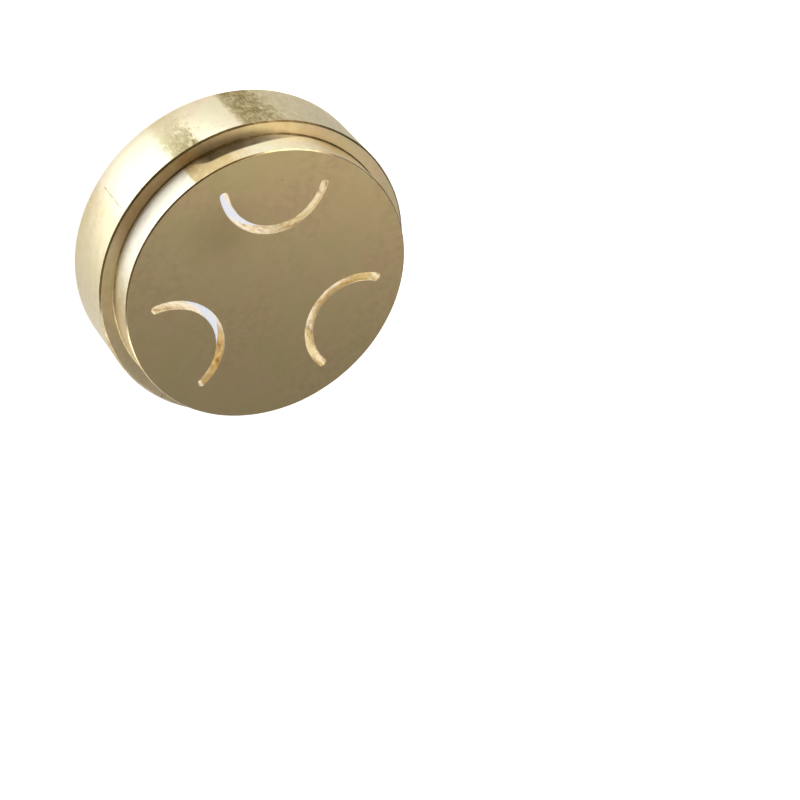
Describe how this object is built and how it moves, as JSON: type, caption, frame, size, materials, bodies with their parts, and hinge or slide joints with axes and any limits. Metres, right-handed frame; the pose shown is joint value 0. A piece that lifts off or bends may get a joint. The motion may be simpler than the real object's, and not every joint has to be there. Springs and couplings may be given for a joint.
{
  "type": "pasta extrusion die",
  "caption": "Round shouldered brass die for a pasta extruder: a plain clamped rim, a raised front boss and curved slots fed from a dough recess in the back.",
  "frame": {"origin": "centre of the back face, which the die lies on", "axes": "+Z along the turning axis, from the back face to the front face; one slot lies across +Y"},
  "size_m": [0.057, 0.057, 0.019],
  "materials": {
    "brass": "satin, turned"
  },
  "bodies": {
    "root": {"die_body": "brass"}
  },
  "joints": []
}
